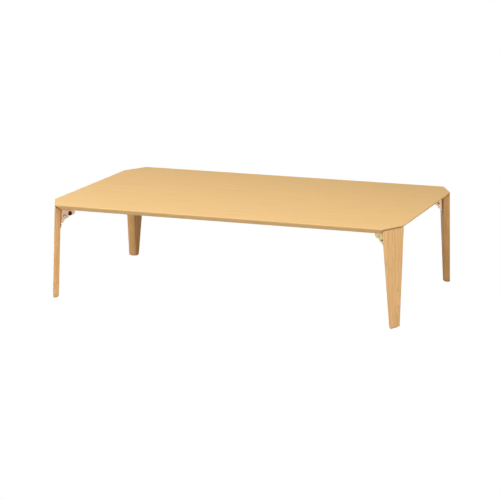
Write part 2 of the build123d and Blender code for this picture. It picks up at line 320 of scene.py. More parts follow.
topWood = {
    "early": (0.745, 0.500, 0.222),  # pale wood between the rings
    "late": (0.665, 0.412, 0.166),
    "rosy": (0.795, 0.472, 0.207),  # warmer streaks
    "pore": (0.500, 0.280, 0.105),
    "pith": (0.05, 0.30),  # metres across and below the face to the tree's middle
    "rings": 90,  # per metre
    "ringDepth": 0.35,
    "tilt": 0.03,
    "waver": 0.010,  # metres
    "eye": (0.0, 9.0, 0.0),  # none on the panel
    "streaks": (85, 85, 7),  # per metre across, through and along
    "streakDepth": 0.45,
    "rosyDepth": 0.40,
    "poreDepth": 0.30,
    "roughness": 0.5,
    "specular": 0.25,
}
legWood = {
    "early": (0.885, 0.555, 0.246),
    "late": (0.655, 0.370, 0.132),
    "rosy": (0.905, 0.490, 0.220),
    "pore": (0.500, 0.255, 0.100),
    "pith": (0.055, 0.050),
    "rings": 125,
    "ringDepth": 0.85,
    "tilt": 0.010,
    "waver": 0.010,
    "eye": (-0.010, 0.555, 0.014),  # metres across, along, and how far a branch lifts the rings
    "streaks": (190, 190, 24),
    "streakDepth": 0.60,
    "rosyDepth": 0.50,
    "poreDepth": 0.40,
    "roughness": 0.5,
    "specular": 0.3,
}
woodFigure = {  # alike in both woods; each span is the noise from which and to which a mark rises
    "waverScale": (12, 12, 3),
    "eyeSize": (0.012, 0.036),  # metres across and along
    "eyeFall": 0.36788,  # exp(-1)
    "lateCurve": 1.6,
    "lateSpan": (0.15, 1.0),
    "ringEnd": (1.0, 0.90),
    "streakSpan": (0.35, 0.68),
    "rosyScale": 0.45,  # of the streaks' scale
    "rosySpan": (0.45, 0.68),
    "fibres": (900, 900, 14),
    "fibreSpan": (0.35, 0.8),
    "fibreDepth": 0.28,
    "pores": (1500, 1500, 60),
    "poreSpan": (0.62, 0.72),
    "poreRing": (0.75, 0.1),  # pores keep to the early part of a ring
    "fibreRelief": 0.4,
    "bump": (0.25, 0.00005),
}


def woodMaterial(name, values, figure):
    # a ring's share is the fraction of rings * (distance from a tilted line beside the board +
    # lift * exp(-(x / a)^2 - (z / b)^2) at the eye), with the board's coordinates wavering slowly;
    # late wood darkens it towards its end, and noise stretched along the grain lays streaks,
    # warmer streaks, fine fibre and short pores over it
    material, tree, shader = newMaterial(name)
    board = attributeNode(tree, "grain")["Vector"]
    slow = addNode(tree, "ShaderNodeTexNoise", {
        "Vector": stretched(tree, board, figure["waverScale"]), "Scale": 1.0, "Detail": 3.0})
    waver = addNode(tree, "ShaderNodeVectorMath", {0: slow.outputs["Color"], 1: (0.5, 0.5, 0.5)},
                    operation="SUBTRACT").outputs[0]
    waver = addNode(tree, "ShaderNodeVectorMath", {0: waver, "Scale": 2 * values["waver"]},
                    operation="SCALE").outputs[0]
    moved = addNode(tree, "ShaderNodeVectorMath", {0: board, 1: waver}).outputs[0]
    x, y, z = addNode(tree, "ShaderNodeSeparateXYZ", {0: moved}).outputs

    (eyeX, eyeZ, lift), (sizeX, sizeZ) = values["eye"], figure["eyeSize"]
    offX = mathNode(tree, "DIVIDE", mathNode(tree, "SUBTRACT", x, eyeX), sizeX)
    offZ = mathNode(tree, "DIVIDE", mathNode(tree, "SUBTRACT", z, eyeZ), sizeZ)
    off = plus(tree, times(tree, offX, offX), times(tree, offZ, offZ))
    lifted = times(tree, mathNode(tree, "POWER", figure["eyeFall"], off), lift)

    pithAcross, pithBelow = values["pith"]
    across = mathNode(tree, "SUBTRACT", x, pithAcross)
    deep = plus(tree, plus(tree, y, pithBelow), times(tree, z, values["tilt"]))
    reach = mathNode(tree, "SQRT", plus(tree, times(tree, across, across), times(tree, deep, deep)))
    reach = plus(tree, reach, lifted)
    growth = mathNode(tree, "FRACT", times(tree, reach, values["rings"]))
    late = mathNode(tree, "POWER", growth, figure["lateCurve"])
    late = rangeNode(tree, late, *figure["lateSpan"])
    late = times(tree, late, rangeNode(tree, growth, *figure["ringEnd"]))
    late = times(tree, late, values["ringDepth"])
    colour = blendColour(tree, late, values["early"], values["late"])

    streak = noiseNode(tree, stretched(tree, board, values["streaks"]), 1.0, 3.0)
    rosyStreaks = tuple(figure["rosyScale"] * scale for scale in values["streaks"])
    warmth = noiseNode(tree, stretched(tree, moved, rosyStreaks), 1.0, 2.0)
    fibre = noiseNode(tree, stretched(tree, board, figure["fibres"]), 1.0, 3.0)
    for noise, span, depth, paint in ((streak, "streakSpan", values["streakDepth"], "late"),
                                      (warmth, "rosySpan", values["rosyDepth"], "rosy"),
                                      (fibre, "fibreSpan", figure["fibreDepth"], "late")):
        share = rangeNode(tree, noise, *figure[span], 0.0, depth)
        colour = blendColour(tree, share, colour, values[paint])
    pores = noiseNode(tree, stretched(tree, board, figure["pores"]), 1.0, 1.0)
    pores = rangeNode(tree, pores, *figure["poreSpan"])
    inRing = times(tree, rangeNode(tree, growth, *figure["poreRing"]), values["poreDepth"])
    colour = blendColour(tree, times(tree, pores, inRing), colour, values["pore"])
    tree.links.new(colour, shader.inputs["Base Color"])
    shader.inputs["Roughness"].default_value = values["roughness"]
    shader.inputs["Specular IOR Level"].default_value = values["specular"]
    relief = mathNode(tree, "SUBTRACT", times(tree, fibre, figure["fibreRelief"]), pores)
    addBump(tree, shader, relief, *figure["bump"])
    return material


zincValues = {
    "steel": (0.80, 0.72, 0.54),
    "casts": {  # each bracket's passivation has its own cast
        "front_left": (0.96, 0.63, 0.42),
        "back_left": (0.90, 0.72, 0.48),
        "front_right": (0.92, 0.76, 0.35),
        "back_right": (1.00, 0.70, 0.48),
    },
    "castShare": (0.55, 1.0),  # how far it covers the steel, at least and at most
    "driftScale": 60.0,
    "driftSpan": (0.35, 0.55),
    "paintedSeamShade": (0.20, 0.11, 0.05),  # painted shade where the plate meets the wood
    "mottleScale": 900.0,
    "mottleSpan": (0.3, 0.7),
    "roughness": (0.27, 0.39),
    "bump": (0.1, 0.000004),
}


def zincMaterial(name, cast, values, paintedShadeFrom, paintedShadeTo):
    # plated steel under a thin film whose cast drifts, faintly mottled, with painted shade on the
    # edges that meet the wood: its share rises between the two given distances out of the pivot, in
    # metres
    material, tree, shader = newMaterial(name)
    board = addNode(tree, "ShaderNodeSeparateXYZ", {0: attributeNode(tree, "grain")["Vector"]})
    place = objectPlace(tree)
    drift = noiseNode(tree, place, values["driftScale"], 3.0)
    share = rangeNode(tree, drift, *values["driftSpan"], *values["castShare"])
    colour = blendColour(tree, share, values["steel"], cast)
    # painted shade: darker near the wood, on edge faces only
    paintedSeamShade = rangeNode(tree, board.outputs["Y"], paintedShadeFrom, paintedShadeTo)
    paintedSeamShade = times(tree, paintedSeamShade, attributeNode(tree, "shadeOnEdge")["Fac"])
    colour = blendColour(tree, paintedSeamShade, colour, values["paintedSeamShade"])
    tree.links.new(colour, shader.inputs["Base Color"])
    shader.inputs["Metallic"].default_value = 1.0
    mottle = noiseNode(tree, place, values["mottleScale"], 3.0)
    roughness = rangeNode(tree, mottle, *values["mottleSpan"], *values["roughness"])
    tree.links.new(roughness, shader.inputs["Roughness"])
    addBump(tree, shader, mottle, *values["bump"])
    return material


steelValues = {  # colour and roughness of each
    "rivet": ((0.86, 0.70, 0.52), 0.30),
    "pin": ((0.97, 0.84, 0.54), 0.36),
    "screw": ((0.78, 0.72, 0.58), 0.30),
    "spring": ((0.46, 0.45, 0.44), 0.32),
    "dullAndShaded": (0.26, 0.16, 0.09),  # a rivet's colour in its bore and at the foot of its head: dull steel with painted shade
    "shade": 0.8,  # how dark its mottling is
    "shadeSpan": (0.4, 0.7),
    "shadeShare": 0.6,
    "scatter": 0.07,  # of the roughness, up and down
    "scatterSpan": (0.3, 0.7),
    "mottleScale": 1500.0,
    "bump": (0.1, 0.000004),
}


def steelMaterial(name, finish, values, dullAndShaded=None):
    # turned or drawn steel: one colour with fine scatter in tone, roughness and relief, going
    # over to a dull, darker one, dull steel with painted shade, where the piece's mask says so
    colour, roughness = finish
    material, tree, shader = newMaterial(name)
    mottle = noiseNode(tree, objectPlace(tree), values["mottleScale"], 3.0)
    shade = tuple(values["shade"] * part for part in colour)
    share = rangeNode(tree, mottle, *values["shadeSpan"], 0.0, values["shadeShare"])
    colour = blendColour(tree, share, colour, shade)
    if dullAndShaded:
        # dull steel with painted shade, in a rivet's bore and at its head's foot
        colour = blendColour(tree, attributeNode(tree, "dullnessAndShade")["Fac"], colour, dullAndShaded)
    tree.links.new(colour, shader.inputs["Base Color"])
    shader.inputs["Metallic"].default_value = 1.0
    scattered = rangeNode(tree, mottle, *values["scatterSpan"],
                          roughness - values["scatter"], roughness + values["scatter"])
    tree.links.new(scattered, shader.inputs["Roughness"])
    addBump(tree, shader, mottle, *values["bump"])
    return material


plasticValues = {
    "colours": ((0.010, 0.008, 0.007), (0.018, 0.015, 0.012)),
    "pebbleScale": 3500.0,
    "pebbleSpan": (0.3, 0.7),
    "roughness": (0.50, 0.65),
    "specular": 0.35,
    "bump": (0.3, 0.00004),
}


def plasticMaterial(name, values):
    # moulded plastic: fine pebbles in tone, roughness and relief
    material, tree, shader = newMaterial(name)
    pebble = noiseNode(tree, objectPlace(tree), values["pebbleScale"], 2.0)
    tree.links.new(blendColour(tree, pebble, *values["colours"]), shader.inputs["Base Color"])
    roughness = rangeNode(tree, pebble, *values["pebbleSpan"], *values["roughness"])
    tree.links.new(roughness, shader.inputs["Roughness"])
    shader.inputs["Specular IOR Level"].default_value = values["specular"]
    addBump(tree, shader, pebble, *values["bump"])
    return material


feltValues = {
    "colours": ((0.30, 0.20, 0.12), (0.52, 0.38, 0.25)),
    "fibres": (2500, 900, 2500),
    "mattedScale": 500.0,
    "mattedSpan": (0.35, 0.65),
    "noiseRoughness": 0.7,
    "roughness": 0.95,
    "sheen": (0.4, 0.5),  # weight and roughness
    "bump": (0.8, 0.0003),
}


def feltMaterial(name, values):
    # pressed felt: the mean of drawn and matted fibres in two browns, with a soft sheen
    material, tree, shader = newMaterial(name)
    place = objectPlace(tree)
    fibre = noiseNode(tree, stretched(tree, place, values["fibres"]), 1.0, 4.0,
                      values["noiseRoughness"])
    matted = noiseNode(tree, place, values["mattedScale"], 4.0, values["noiseRoughness"])
    mean = times(tree, plus(tree, fibre, matted), 0.5)
    colour = blendColour(tree, rangeNode(tree, mean, *values["mattedSpan"]), *values["colours"])
    tree.links.new(colour, shader.inputs["Base Color"])
    shader.inputs["Roughness"].default_value = values["roughness"]
    shader.inputs["Sheen Weight"].default_value = values["sheen"][0]
    shader.inputs["Sheen Roughness"].default_value = values["sheen"][1]
    addBump(tree, shader, mean, *values["bump"])
    return material


woodOfTop = woodMaterial("lacqueredTopWood", topWood, woodFigure)
woodOfLeg = woodMaterial("lacqueredLegWood", legWood, woodFigure)
rivetSteel = steelMaterial("rivetSteel", steelValues["rivet"], steelValues, steelValues["dullAndShaded"])
pinSteel = steelMaterial("turnedPinSteel", steelValues["pin"], steelValues)
screwSteel = steelMaterial("platedScrewSteel", steelValues["screw"], steelValues)
springSteel = steelMaterial("drawnSpringWire", steelValues["spring"], steelValues)
capPlastic = plasticMaterial("mouldedBlackCap", plasticValues)
felt = feltMaterial("pressedFelt", feltValues)
print("materials made")


panelValues = {
    "cut": (46, 92),  # off the long side and off the short side
    "cornerRound": 5,
    "arris": 1.4,
    "lip": 3.4,
    "lipUnder": 0.7,  # small round where the lip turns into the undercut
    "undercut": 18,
    "underRound": 1.2,
    "arrisSteps": 7,
    "cornerSteps": 9,
    "sharpAngle": 28,
}


def makeTabletop(values):
    # the outline moved in and down an edge profile: a quarter round (a * (1 - sin t),
    # top - a * (1 - cos t)), a plumb lip, then a straight slope in to the underside
    low, high = (np.array(corner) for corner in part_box("tabletop"))
    half = (high - low)[:2] / 2
    cutX, cutY = (cut * mm for cut in values["cut"])
    quarter = np.array([(half[0], half[1] - cutY), (half[0] - cutX, half[1])])
    right = np.concatenate([(quarter * (1, -1))[::-1], quarter])
    outline = np.concatenate([right, -right])
    top, bottom = high[2], low[2]
    arris, under = values["arris"] * mm, values["lipUnder"] * mm
    lipFoot, slopeRun = top - values["lip"] * mm, values["undercut"] * mm
    underX, underZ = under * unit((slopeRun, bottom - lipFoot))
    turn = np.linspace(0, pi / 2, values["arrisSteps"])
    edge = np.stack([arris * (1 - np.sin(turn)), top - arris * (1 - np.cos(turn))], axis=-1)
    profile = np.concatenate([edge, [(0, lipFoot + under), (underX, lipFoot + underZ),
                                     (slopeRun - underX, bottom - underZ),
                                     (slopeRun + under, bottom)]])
    rounds = np.interp(profile[:, 0], [0, slopeRun],
                       [values["cornerRound"] * mm, values["underRound"] * mm])
    rings = []
    for (inset, height), radius in zip(profile, rounds):
        flat = roundedRing(outline, inset, radius, values["cornerSteps"])
        rings.append(np.column_stack([flat, np.full(len(flat), height)]))
    panel = stackRings("tabletopPanel", np.array(rings), values["sharpAngle"])
    alongX, acrossY, throughZ = np.eye(3)
    giveGrain(panel, (0, 0, top), acrossY, throughZ, alongX)
    dress(panel, woodOfTop, "top", "tabletop")


makeTabletop(panelValues)
print("tabletop made")


legValues = {
    "reach": 14,  # pivot to the inner face
    "thickness": 19,
    "topWidth": 100,
    "footWidth": 48,
    "bevel": 18,  # how much narrower each side of the inner face is
    "lean": 2.4,
    "gap": 2.6,  # top end to the panel's undercut
    "outerRound": 1.2,
    "innerRound": 3.5,
    "leastRound": 0.1,
    "endRound": 0.8,
    "shoulderRound": 3.5,  # where the top end meets the sides
    "cornerSteps": 6,
    "endSteps": 5,
    "sharpAngle": 28,
    "grainShift": 0.37,  # metres from one leg to the next, so that no two have the same figure
}
padValues = {
    "thickness": 2.5,
    "inset": 2.5,
    "cornerRound": 2.0,
    "edgeRound": 0.5,
    "cornerSteps": 5,
    "edgeSteps": 4,
    "sharpAngle": 40,
}


def legSection(width, values):
    # the board's section: x towards the pivot, y across, with both inner corners bevelled off
    outer, inner = -values["reach"] - values["thickness"], -values["reach"]
    half = width / 2
    innerHalf = half - values["bevel"]
    return mm * np.array([(outer, half), (outer, -half), (inner, -innerHalf), (inner, innerHalf)])


def legEnds(corner, values):
    # lengths along the outer face: pivot up to the panel's upper side, and pivot down to the floor
    top, floor = cadBox[1][2], cadBox[0][2]
    lean = radians(values["lean"])
    outer = (values["reach"] + values["thickness"]) * mm
    rise = (top - corner["pivot"][2] - outer * np.sin(lean)) / np.cos(lean)
    return rise, (top - floor) / np.cos(lean) - rise


def roundedOff(depth, radius):
    # how far a quarter round takes a side in, at a depth below the end:
    # radius - sqrt(radius^2 - (radius - depth)^2)
    return radius - np.sqrt(radius ** 2 - np.maximum(radius - depth, 0) ** 2)


def makeLeg(name, corner, number, values):
    # lines from the foot's section to the wider top's, each cut off by the sole's plane and by one
    # along the panel's undercut; at both ends plane and section move in by a quarter round
    face, along = leanFrame(corner, values["lean"])
    pivot, top, floor = corner["pivot"], cadBox[1][2], cadBox[0][2]
    rise, drop = legEnds(corner, values)
    widths = {rise: values["topWidth"], -drop: values["footWidth"]}
    rounds = np.array([values["outerRound"]] * 2 + [values["innerRound"]] * 2) * mm

    def trimmed(inset, origin, normal, offset, shoulder=0.0):
        # where each lengthwise line meets a plane moved in by offset
        ends = []
        for height, width in widths.items():
            flat = roundedRing(legSection(width - 2 * shoulder / mm, values), inset,
                               np.maximum(rounds - inset, values["leastRound"] * mm),
                               values["cornerSteps"])
            ends.append(pivot + flat[:, :1] * face + flat[:, 1:] * corner["across"]
                        + height * along)
        way = ends[0] - ends[1]
        share = ((origin - offset * normal - ends[1]) @ normal) / (way @ normal)
        return ends[1] + share[:, None] * way

    lipFoot = top - panelValues["lip"] * mm
    slopeRise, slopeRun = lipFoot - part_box("tabletop")[0][2], panelValues["undercut"] * mm
    topNormal = unit(slopeRise * corner["inward"] + slopeRun * corner["up"])
    lean, outer = radians(values["lean"]), (values["reach"] + values["thickness"]) * mm
    lipPoint = pivot - corner["inward"] * (outer * np.cos(lean) - rise * np.sin(lean))
    lipPoint[2] = lipFoot
    topPoint = lipPoint - topNormal * values["gap"] * mm
    solePoint = np.array([0, 0, floor + padValues["thickness"] * mm])
    soleNormal = -corner["up"]

    endRound, shoulderRound = values["endRound"] * mm, values["shoulderRound"] * mm
    quarter = 1 - np.cos(np.linspace(0, pi / 2, values["endSteps"]))
    rings = [trimmed(roundedOff(depth, endRound), solePoint, soleNormal, depth)
             for depth in endRound * quarter]
    depths = np.union1d(endRound * quarter, shoulderRound * quarter)[::-1]
    rings += [trimmed(roundedOff(depth, endRound), topPoint, topNormal, depth,
                      roundedOff(depth, shoulderRound)) for depth in depths]
    leg = stackRings(name + "_legBoard", np.array(rings), values["sharpAngle"])
    giveGrain(leg, pivot, corner["across"], -face, along, (0, 0, number * values["grainShift"]))
    dress(leg, woodOfLeg, corner["leg"], name + "_leg")


def makePad(name, corner, values):
    # the leg's foot section moved in, its upper and lower edges rounded:
    # in by r * (1 - sin t) and off the face by r * (1 - cos t)
    face, along = leanFrame(corner, legValues["lean"])
    drop = legEnds(corner, legValues)[1]
    sole = legSection(legValues["footWidth"], legValues)
    turn = np.linspace(0, 1, values["edgeSteps"]) * pi / 2
    shrink = values["edgeRound"] * (1 - np.sin(turn))
    raised = values["thickness"] - values["edgeRound"] * (1 - np.cos(turn))
    shrink = np.concatenate([shrink, shrink[::-1]])
    raised = np.concatenate([raised, values["thickness"] - raised[::-1]])
    rings = []
    for inset, height in zip((values["inset"] + shrink) * mm, raised * mm):
        flat = roundedRing(sole, inset, values["cornerRound"] * mm, values["cornerSteps"])
        ring = corner["pivot"] + flat[:, :1] * face + flat[:, 1:] * corner["across"] - drop * along
        ring[:, 2] = cadBox[0][2] + height
        rings.append(ring)
    pad = stackRings(name + "_feltPad", np.array(rings), values["sharpAngle"])
    dress(pad, felt, corner["leg"], name + "_foot_pad")


for number, (name, corner) in enumerate(corners.items()):
    makeLeg(name, corner, number, legValues)
    makePad(name, corner, padValues)
print("legs made")


bracketValues = {
    "edge": 0.22,  # how far the cut edges are softened
    "edgeSteps": 2,
    "edgeAngle": 40,
    "sharpAngle": 30,
    "weld": 0.002,
    "flatAngle": 1,  # neighbouring faces that turn by less become one
    "tableReach": 27,  # pivot to the underside of the panel
    "paintedSeamShade": 3.6,  # how far the painted seam shade reaches from the wood
    "paintedShadeFull": 1.2,  # and how far it is at its darkest
}


def softenPlate(name, nodeName, body, material, corner, through, values):
    # the pressed plate itself, its flat triangles merged, its edges bevelled; the mask of painted
    # shade is 1 - |normal . through|, so that no face that lies flat against the wood is painted
    # darker
    mesh = frame["nodes"][nodeName].data.copy()
    work = bmesh.new()
    work.from_mesh(mesh)
    bmesh.ops.remove_doubles(work, verts=work.verts, dist=values["weld"] * mm)
    bmesh.ops.dissolve_limit(work, angle_limit=radians(values["flatAngle"]), verts=work.verts,
                             edges=work.edges)
    work.to_mesh(mesh)
    work.free()
    plate = addPiece(name, mesh, values["sharpAngle"])
    across = corner["across"]
    giveGrain(plate, corner["pivot"], across, through, np.cross(across, through))
    normal = np.empty(len(mesh.polygons) * 3)
    mesh.polygons.foreach_get("normal", normal)
    shadeOnEdge = 1 - np.abs(normal.reshape(-1, 3) @ through)
    mesh.attributes.new("shadeOnEdge", "FLOAT", "FACE").data.foreach_set("value", shadeOnEdge)
    edge = plate.modifiers.new("softEdges", "BEVEL")
    edge.width = values["edge"] * mm
    edge.segments = values["edgeSteps"]
    edge.limit_method = "ANGLE"
    edge.angle_limit = radians(values["edgeAngle"])
    edge.harden_normals = False
    dress(plate, material, body, nodeName)


def platedZinc(name, cast, reach):
    # zinc with painted shade along its seam at the wood, which is reach millimetres from the pivot
    return zincMaterial(name, cast, zincValues, (reach - bracketValues["paintedSeamShade"]) * mm,
                        (reach - bracketValues["paintedShadeFull"]) * mm)


for name, corner in corners.items():
    cast = zincValues["casts"][name]
    face = leanFrame(corner, legValues["lean"])[0]
    onTable = platedZinc(name + "_tableZinc", cast, bracketValues["tableReach"])
    onLeg = platedZinc(name + "_legZinc", cast, legValues["reach"])
    softenPlate(name + "_tablePlate", name + "_table_bracket", "top", onTable, corner,
                corner["up"], bracketValues)
    softenPlate(name + "_legPlate", name + "_leg_bracket", corner["leg"], onLeg, corner,
                -face, bracketValues)
print("brackets made")


rivetValues = {  # a low pan head on one flank, a rolled hollow tail on the other
    "seat": 16.25,  # pivot's middle to the underside of head and tail
    "shank": 3,
    "headRadius": 5.5,
    "headHeight": 2,
    "headFlat": 2.6,  # radius of its flat middle
    "rim": 0.35,
    "chamfer": 0.15,
    "domeSteps": 9,
    "tailRadius": 4.6,
    "tailHeight": 1.6,
    "rollSteps": 11,
    "bore": 2.5,
    "boreDepth": 9,
    "boreCone": (0.8, 0.9),  # length of its pointed end, and share of the bore it starts at
    "dullShadeBand": (0.5, 0.1),  # off the bore: where its dull steel and painted shade have faded out, and start to
    "sides": 48,
    "sharpAngle": 40,
}


def rivetProfile(values):
    # (along, radius) from the bore's end round the rolled tail, up the shank and over the head,
    # whose dome is (seat + rim + h * sin t, flat + (headRadius - flat) * cos t)
    seat, rim, bore, chamfer = (values[key] for key in ("seat", "rim", "bore", "chamfer"))
    head, tail, flat = values["headRadius"], values["tailRadius"], values["headFlat"]
    tailEnd = -seat - values["tailHeight"]
    roll = (tail - bore) / 2
    rolled = arcProfile((tailEnd + roll, bore + roll), roll, 270, 90, values["rollSteps"])
    dome = np.linspace(0, pi / 2, values["domeSteps"])
    height = values["headHeight"] - rim
    domed = np.stack([seat + rim + height * np.sin(dome), flat + (head - flat) * np.cos(dome)],
                     axis=-1)
    boreEnd, (cone, coneShare) = tailEnd + values["boreDepth"], values["boreCone"]
    hole = [(boreEnd + cone, 0), (boreEnd, bore * coneShare)]
    stem = [(-seat, tail), (-seat, values["shank"]), (seat, values["shank"]),
            (seat, head - chamfer), (seat + chamfer, head)]
    return np.concatenate([hole, rolled, stem, domed, [(seat + values["headHeight"], 0)]])


def giveDullnessAndShade(piece, values):
    # how dull the steel is at each point, dull steel with painted shade: fully inside the bore,
    # more and more towards the head's foot, from its distance along and off the nearest rivet's
    # line
    lines = [flankLine(corner) for corner in corners.values()]
    offset = pointPlaces(piece.data)[:, None] - np.array([origin for origin, axis, side in lines])
    nearest = np.argmin(np.linalg.norm(offset, axis=2), axis=1)
    offset = offset[np.arange(len(nearest)), nearest] / mm
    axis = np.array([axis for origin, axis, side in lines])[nearest]
    along = np.sum(offset * axis, axis=1)
    radius = np.linalg.norm(offset - along[:, None] * axis, axis=1)
    bore, flat, (bandEnd, bandStart) = values["bore"], values["headFlat"], values["dullShadeBand"]
    inBore = np.clip((bore + bandEnd - radius) / (bandEnd - bandStart), 0, 1)
    atFoot = np.clip((radius - flat) / (values["headRadius"] - flat), 0, 1)
    dullnessAndShade = np.where(along < 0, inBore, atFoot)
    piece.data.attributes.new("dullnessAndShade", "FLOAT", "POINT").data.foreach_set("value", dullnessAndShade)


def makeRivets(values):
    # one profile turned about the four pivots
    profile = rivetProfile(values)
    rings = np.array([turnedRings(profile, flankLine(corner), values["sides"])
                      for corner in corners.values()])
    rivets = stackRings("pivotRivets", rings, values["sharpAngle"])
    giveDullnessAndShade(rivets, values)
    dress(rivets, rivetSteel, "top", "pivot_rivets")


makeRivets(rivetValues)
print("rivets made")


barValues = {
    "reach": 19,  # pivot to bar
    "angle": 27,  # degrees above the level on the way there
    "radius": 2.75,
    "barChamfer": 0.4,
    "seat": 16.4,  # bracket's middle to cap and head
    "headRadius": 4,
    "headHeight": 1.2,
    "headRound": 0.35,
    "headDome": (0.15, 0.55),  # how far its middle stands out, and over what share of the radius
    "headSteps": 5,
    "sides": 40,
    "sharpAngle": 40,
}
capValues = {
    "radius": 6.1,
    "length": 7.5,
    "wall": 1.8,
    "round": 1.7,
    "chamfer": 0.3,
    "fit": 0.05,
    "roundSteps": 8,
    "sides": 48,
    "sharpAngle": 40,
}


def makeLockBar(name, corner, bar, cap):
    # both turned about the bar's line: a pin with a rounded, faintly domed head at one end, and
    # a cup with a rounded end over the other
    angle = radians(bar["angle"])
    line = flankLine(corner, bar["reach"] * np.cos(angle), bar["reach"] * np.sin(angle))
    seat, radius, head = bar["seat"], bar["radius"], bar["headRadius"]
    headEnd, headRound, chamfer = -seat - bar["headHeight"], bar["headRound"], bar["barChamfer"]
    barEnd = seat + cap["length"] - cap["wall"]
    domeHeight, domeShare = bar["headDome"]
    crown = arcProfile((headEnd + headRound, head - headRound), headRound, 180, 90,
                       bar["headSteps"])
    profile = np.concatenate([[(headEnd - domeHeight, 0), (headEnd, head * domeShare)], crown,
                              [(-seat, head), (-seat, radius), (barEnd - chamfer, radius),
                               (barEnd, radius - chamfer), (barEnd, 0)]])
    pin = stackRings(name + "_lockPin", turnedRings(profile, line, bar["sides"]), bar["sharpAngle"])
    dress(pin, pinSteel, corner["lock"], name + "_lock_bar")

    outer, capEnd, turn, chamfer = cap["radius"], seat + cap["length"], cap["round"], cap["chamfer"]
    socket, socketEnd = radius + cap["fit"], barEnd + cap["fit"]
    end = arcProfile((capEnd - turn, outer - turn), turn, 90, 0, cap["roundSteps"])
    profile = np.concatenate([[(socketEnd, 0), (socketEnd, socket), (seat + chamfer, socket),
                               (seat, socket + chamfer), (seat, outer - chamfer),
                               (seat + chamfer, outer)], end, [(capEnd, 0)]])
    cup = stackRings(name + "_fingerCap", turnedRings(profile, line, cap["sides"]),
                     cap["sharpAngle"])
    dress(cup, capPlastic, corner["lock"], name + "_bar_cap")


for name, corner in corners.items():
    makeLockBar(name, corner, barValues, capValues)
print("lock bars made")


springValues = {  # one wire, hooked round the rivet, coiled, hooked round the bar
    "wire": 0.45,  # radius
    "coilRadius": 2.7,
    "coilStart": 4.6,
    "coilEnd": 14.6,
    "turns": 4,
    "turnSteps": 24,
    "hookRivet": 3.75,
    "hookBar": 3.5,
    "hookTurn": 200,
    "hookSteps": 26,
    "sides": 10,
    "sharpAngle": 60,
}


def springPath(values, reach):
    # x along the pull, y square to it in the flank, z across: an arc round the rivet, a helix
    # (x, r * sin a, r * cos a) between the coil's ends, an arc round the bar
    level = np.zeros(values["hookSteps"])
    first = arcProfile((0, 0), values["hookRivet"], values["hookTurn"], 0, values["hookSteps"])
    last = arcProfile((reach, 0), values["hookBar"], 180, 180 - values["hookTurn"],
                      values["hookSteps"])
    sweep = np.linspace(0, 2 * pi * values["turns"], values["turnSteps"] * values["turns"])
    coil = np.stack([np.linspace(values["coilStart"], values["coilEnd"], len(sweep)),
                     values["coilRadius"] * np.sin(sweep),
                     values["coilRadius"] * np.cos(sweep)], axis=-1)
    return np.concatenate([np.column_stack([first, level]), coil, np.column_stack([last, level])])


def tubeRings(path, radius, sides, steady):
    # circles square to the path: path + radius * (cos a * n + sin a * b), with
    # n = tangent x steady and b = tangent x n, where steady is a direction the path never takes
    tangent = np.gradient(path, axis=0)
    tangent /= np.linalg.norm(tangent, axis=1, keepdims=True)
    normal = np.cross(tangent, steady)
    normal /= np.linalg.norm(normal, axis=1, keepdims=True)
    other = np.cross(tangent, normal)
    angle = np.linspace(0, 2 * pi, sides, endpoint=False)[:, None]
    circle = np.cos(angle) * normal[:, None] + np.sin(angle) * other[:, None]
    return path[:, None] + radius * circle


def makeSpring(name, corner, values):
    # a tube along the spring's path, laid from the pivot to the bar
    angle = radians(barValues["angle"])
    pull = np.cos(angle) * corner["inward"] + np.sin(angle) * corner["up"]
    square = -np.sin(angle) * corner["inward"] + np.cos(angle) * corner["up"]
    path = springPath(values, barValues["reach"])
    rings = tubeRings(path, values["wire"], values["sides"], unit((1, 0, 1)))
    turned = np.stack([pull, square, -corner["across"]])
    spring = stackRings(name + "_tensionSpring", corner["pivot"] + mm * (rings @ turned),
                        values["sharpAngle"])
    spring.data.materials.append(springSteel)
    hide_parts(name + "_lock_spring")
    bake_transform(spring)


for name, corner in corners.items():
    makeSpring(name, corner, springValues)
print("springs made")


screwValues = {  # pan heads with a cross recess
    "headRadius": 3.8,
    "headHeight": 2.2,
    "headFall": 0.35,  # middle of the head to its edge
    "rimRound": 0.45,
    "rimDrop": 0.75,  # top of the head to the middle of its round
    "rimArc": (85, 0, 5),  # degrees from and to, and steps
    "foot": 0.1,  # chamfer under the head
    "shank": 2,
    "point": (3, 0.2),  # length and end radius
    "length": 14,
    "recessReach": 2.1,
    "recessWidth": 0.42,  # half of a slot's width
    "recessDepth": 1.3,
    "recessSlope": (0.12, 1.2),  # run of its walls, and of an arm's end
    "crossSpan": (0.02, 2.4),  # rings are close together from here to there
    "crossRings": 17,
    "outerStart": 2.6,
    "outerRings": 4,
    "sides": 64,
    "sharpAngle": 40,
    "tableSeat": 25,  # pivot up to the underside of the table plate
    "tablePlaces": ((-5.3, 0), (43.9, -16.5), (43.9, 16.5)),  # inwards and across
    "tableSeed": 3,
    "legSeat": -12,  # pivot to the inner face of the leg plate
    "legPlaces": ((-7.4, 15), (7.4, 15), (0, -34)),  # across and up the leg
    "legSeed": 10,
}


